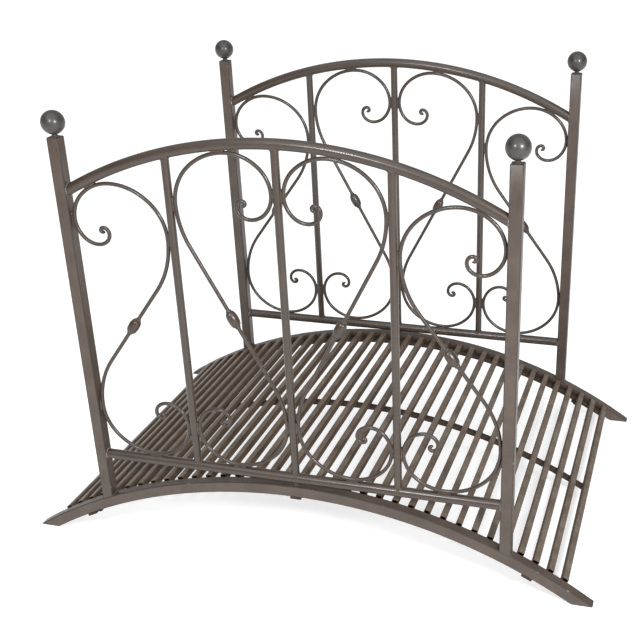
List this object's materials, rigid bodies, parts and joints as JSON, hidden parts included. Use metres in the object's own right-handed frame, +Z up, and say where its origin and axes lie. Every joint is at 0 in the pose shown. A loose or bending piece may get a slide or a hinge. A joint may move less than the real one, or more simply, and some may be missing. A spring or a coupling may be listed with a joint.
{
  "type": "garden bridge",
  "caption": "Arched steel garden footbridge with a slatted deck on curved stringers, square posts with ball finials, and arched railings filled with beaded S scrolls.",
  "frame": {"origin": "on the ground, in the middle of the bridge's bounding box", "axes": "+X along the bridge from the left end to the right end, +Y across it from the front railing to the back railing, +Z up"},
  "size_m": [1.282, 0.867, 0.9723],
  "materials": {
    "frame_steel": "antique grey-brown paint, satin, worn at the edges",
    "rail_steel": "antique grey paint, satin, a little brighter along the tops",
    "scroll_steel": "antique grey-brown paint, satin",
    "finial_steel": "antique grey-brown paint, half gloss",
    "deck_steel": "antique grey-brown paint, matt to satin, with pale wear on the tops",
    "under_deck_steel": "dark brown paint, matt"
  },
  "bodies": {
    "root": {"front_stringer": "frame_steel", "back_stringer": "frame_steel", "front_left_post": "frame_steel", "front_right_post": "frame_steel", "back_left_post": "frame_steel", "back_right_post": "frame_steel", "front_left_finial": "finial_steel", "front_right_finial": "finial_steel", "back_left_finial": "finial_steel", "back_right_finial": "finial_steel", "front_top_rail": "rail_steel", "back_top_rail": "rail_steel", "front_bottom_rail": "rail_steel", "back_bottom_rail": "rail_steel", "front_rail_stub": "rail_steel", "back_rail_stub": "rail_steel", "front_left_baluster": "rail_steel", "front_middle_baluster": "rail_steel", "front_right_baluster": "rail_steel", "back_left_baluster": "rail_steel", "back_middle_baluster": "rail_steel", "back_right_baluster": "rail_steel", "front_scroll_1": "scroll_steel", "front_scroll_2": "scroll_steel", "front_scroll_3": "scroll_steel", "front_scroll_4": "scroll_steel", "back_scroll_1": "scroll_steel", "back_scroll_2": "scroll_steel", "back_scroll_3": "scroll_steel", "back_scroll_4": "scroll_steel", "front_beads": "scroll_steel", "back_beads": "scroll_steel", "front_bearer": "under_deck_steel", "middle_bearer": "under_deck_steel", "back_bearer": "under_deck_steel", "deck_slats_left_end": "deck_steel", "deck_slats_left": "deck_steel", "deck_slats_middle": "deck_steel", "deck_slats_right": "deck_steel", "deck_slats_right_end": "deck_steel", "front_deck_brackets": "under_deck_steel", "back_deck_brackets": "under_deck_steel"}
  },
  "joints": []
}
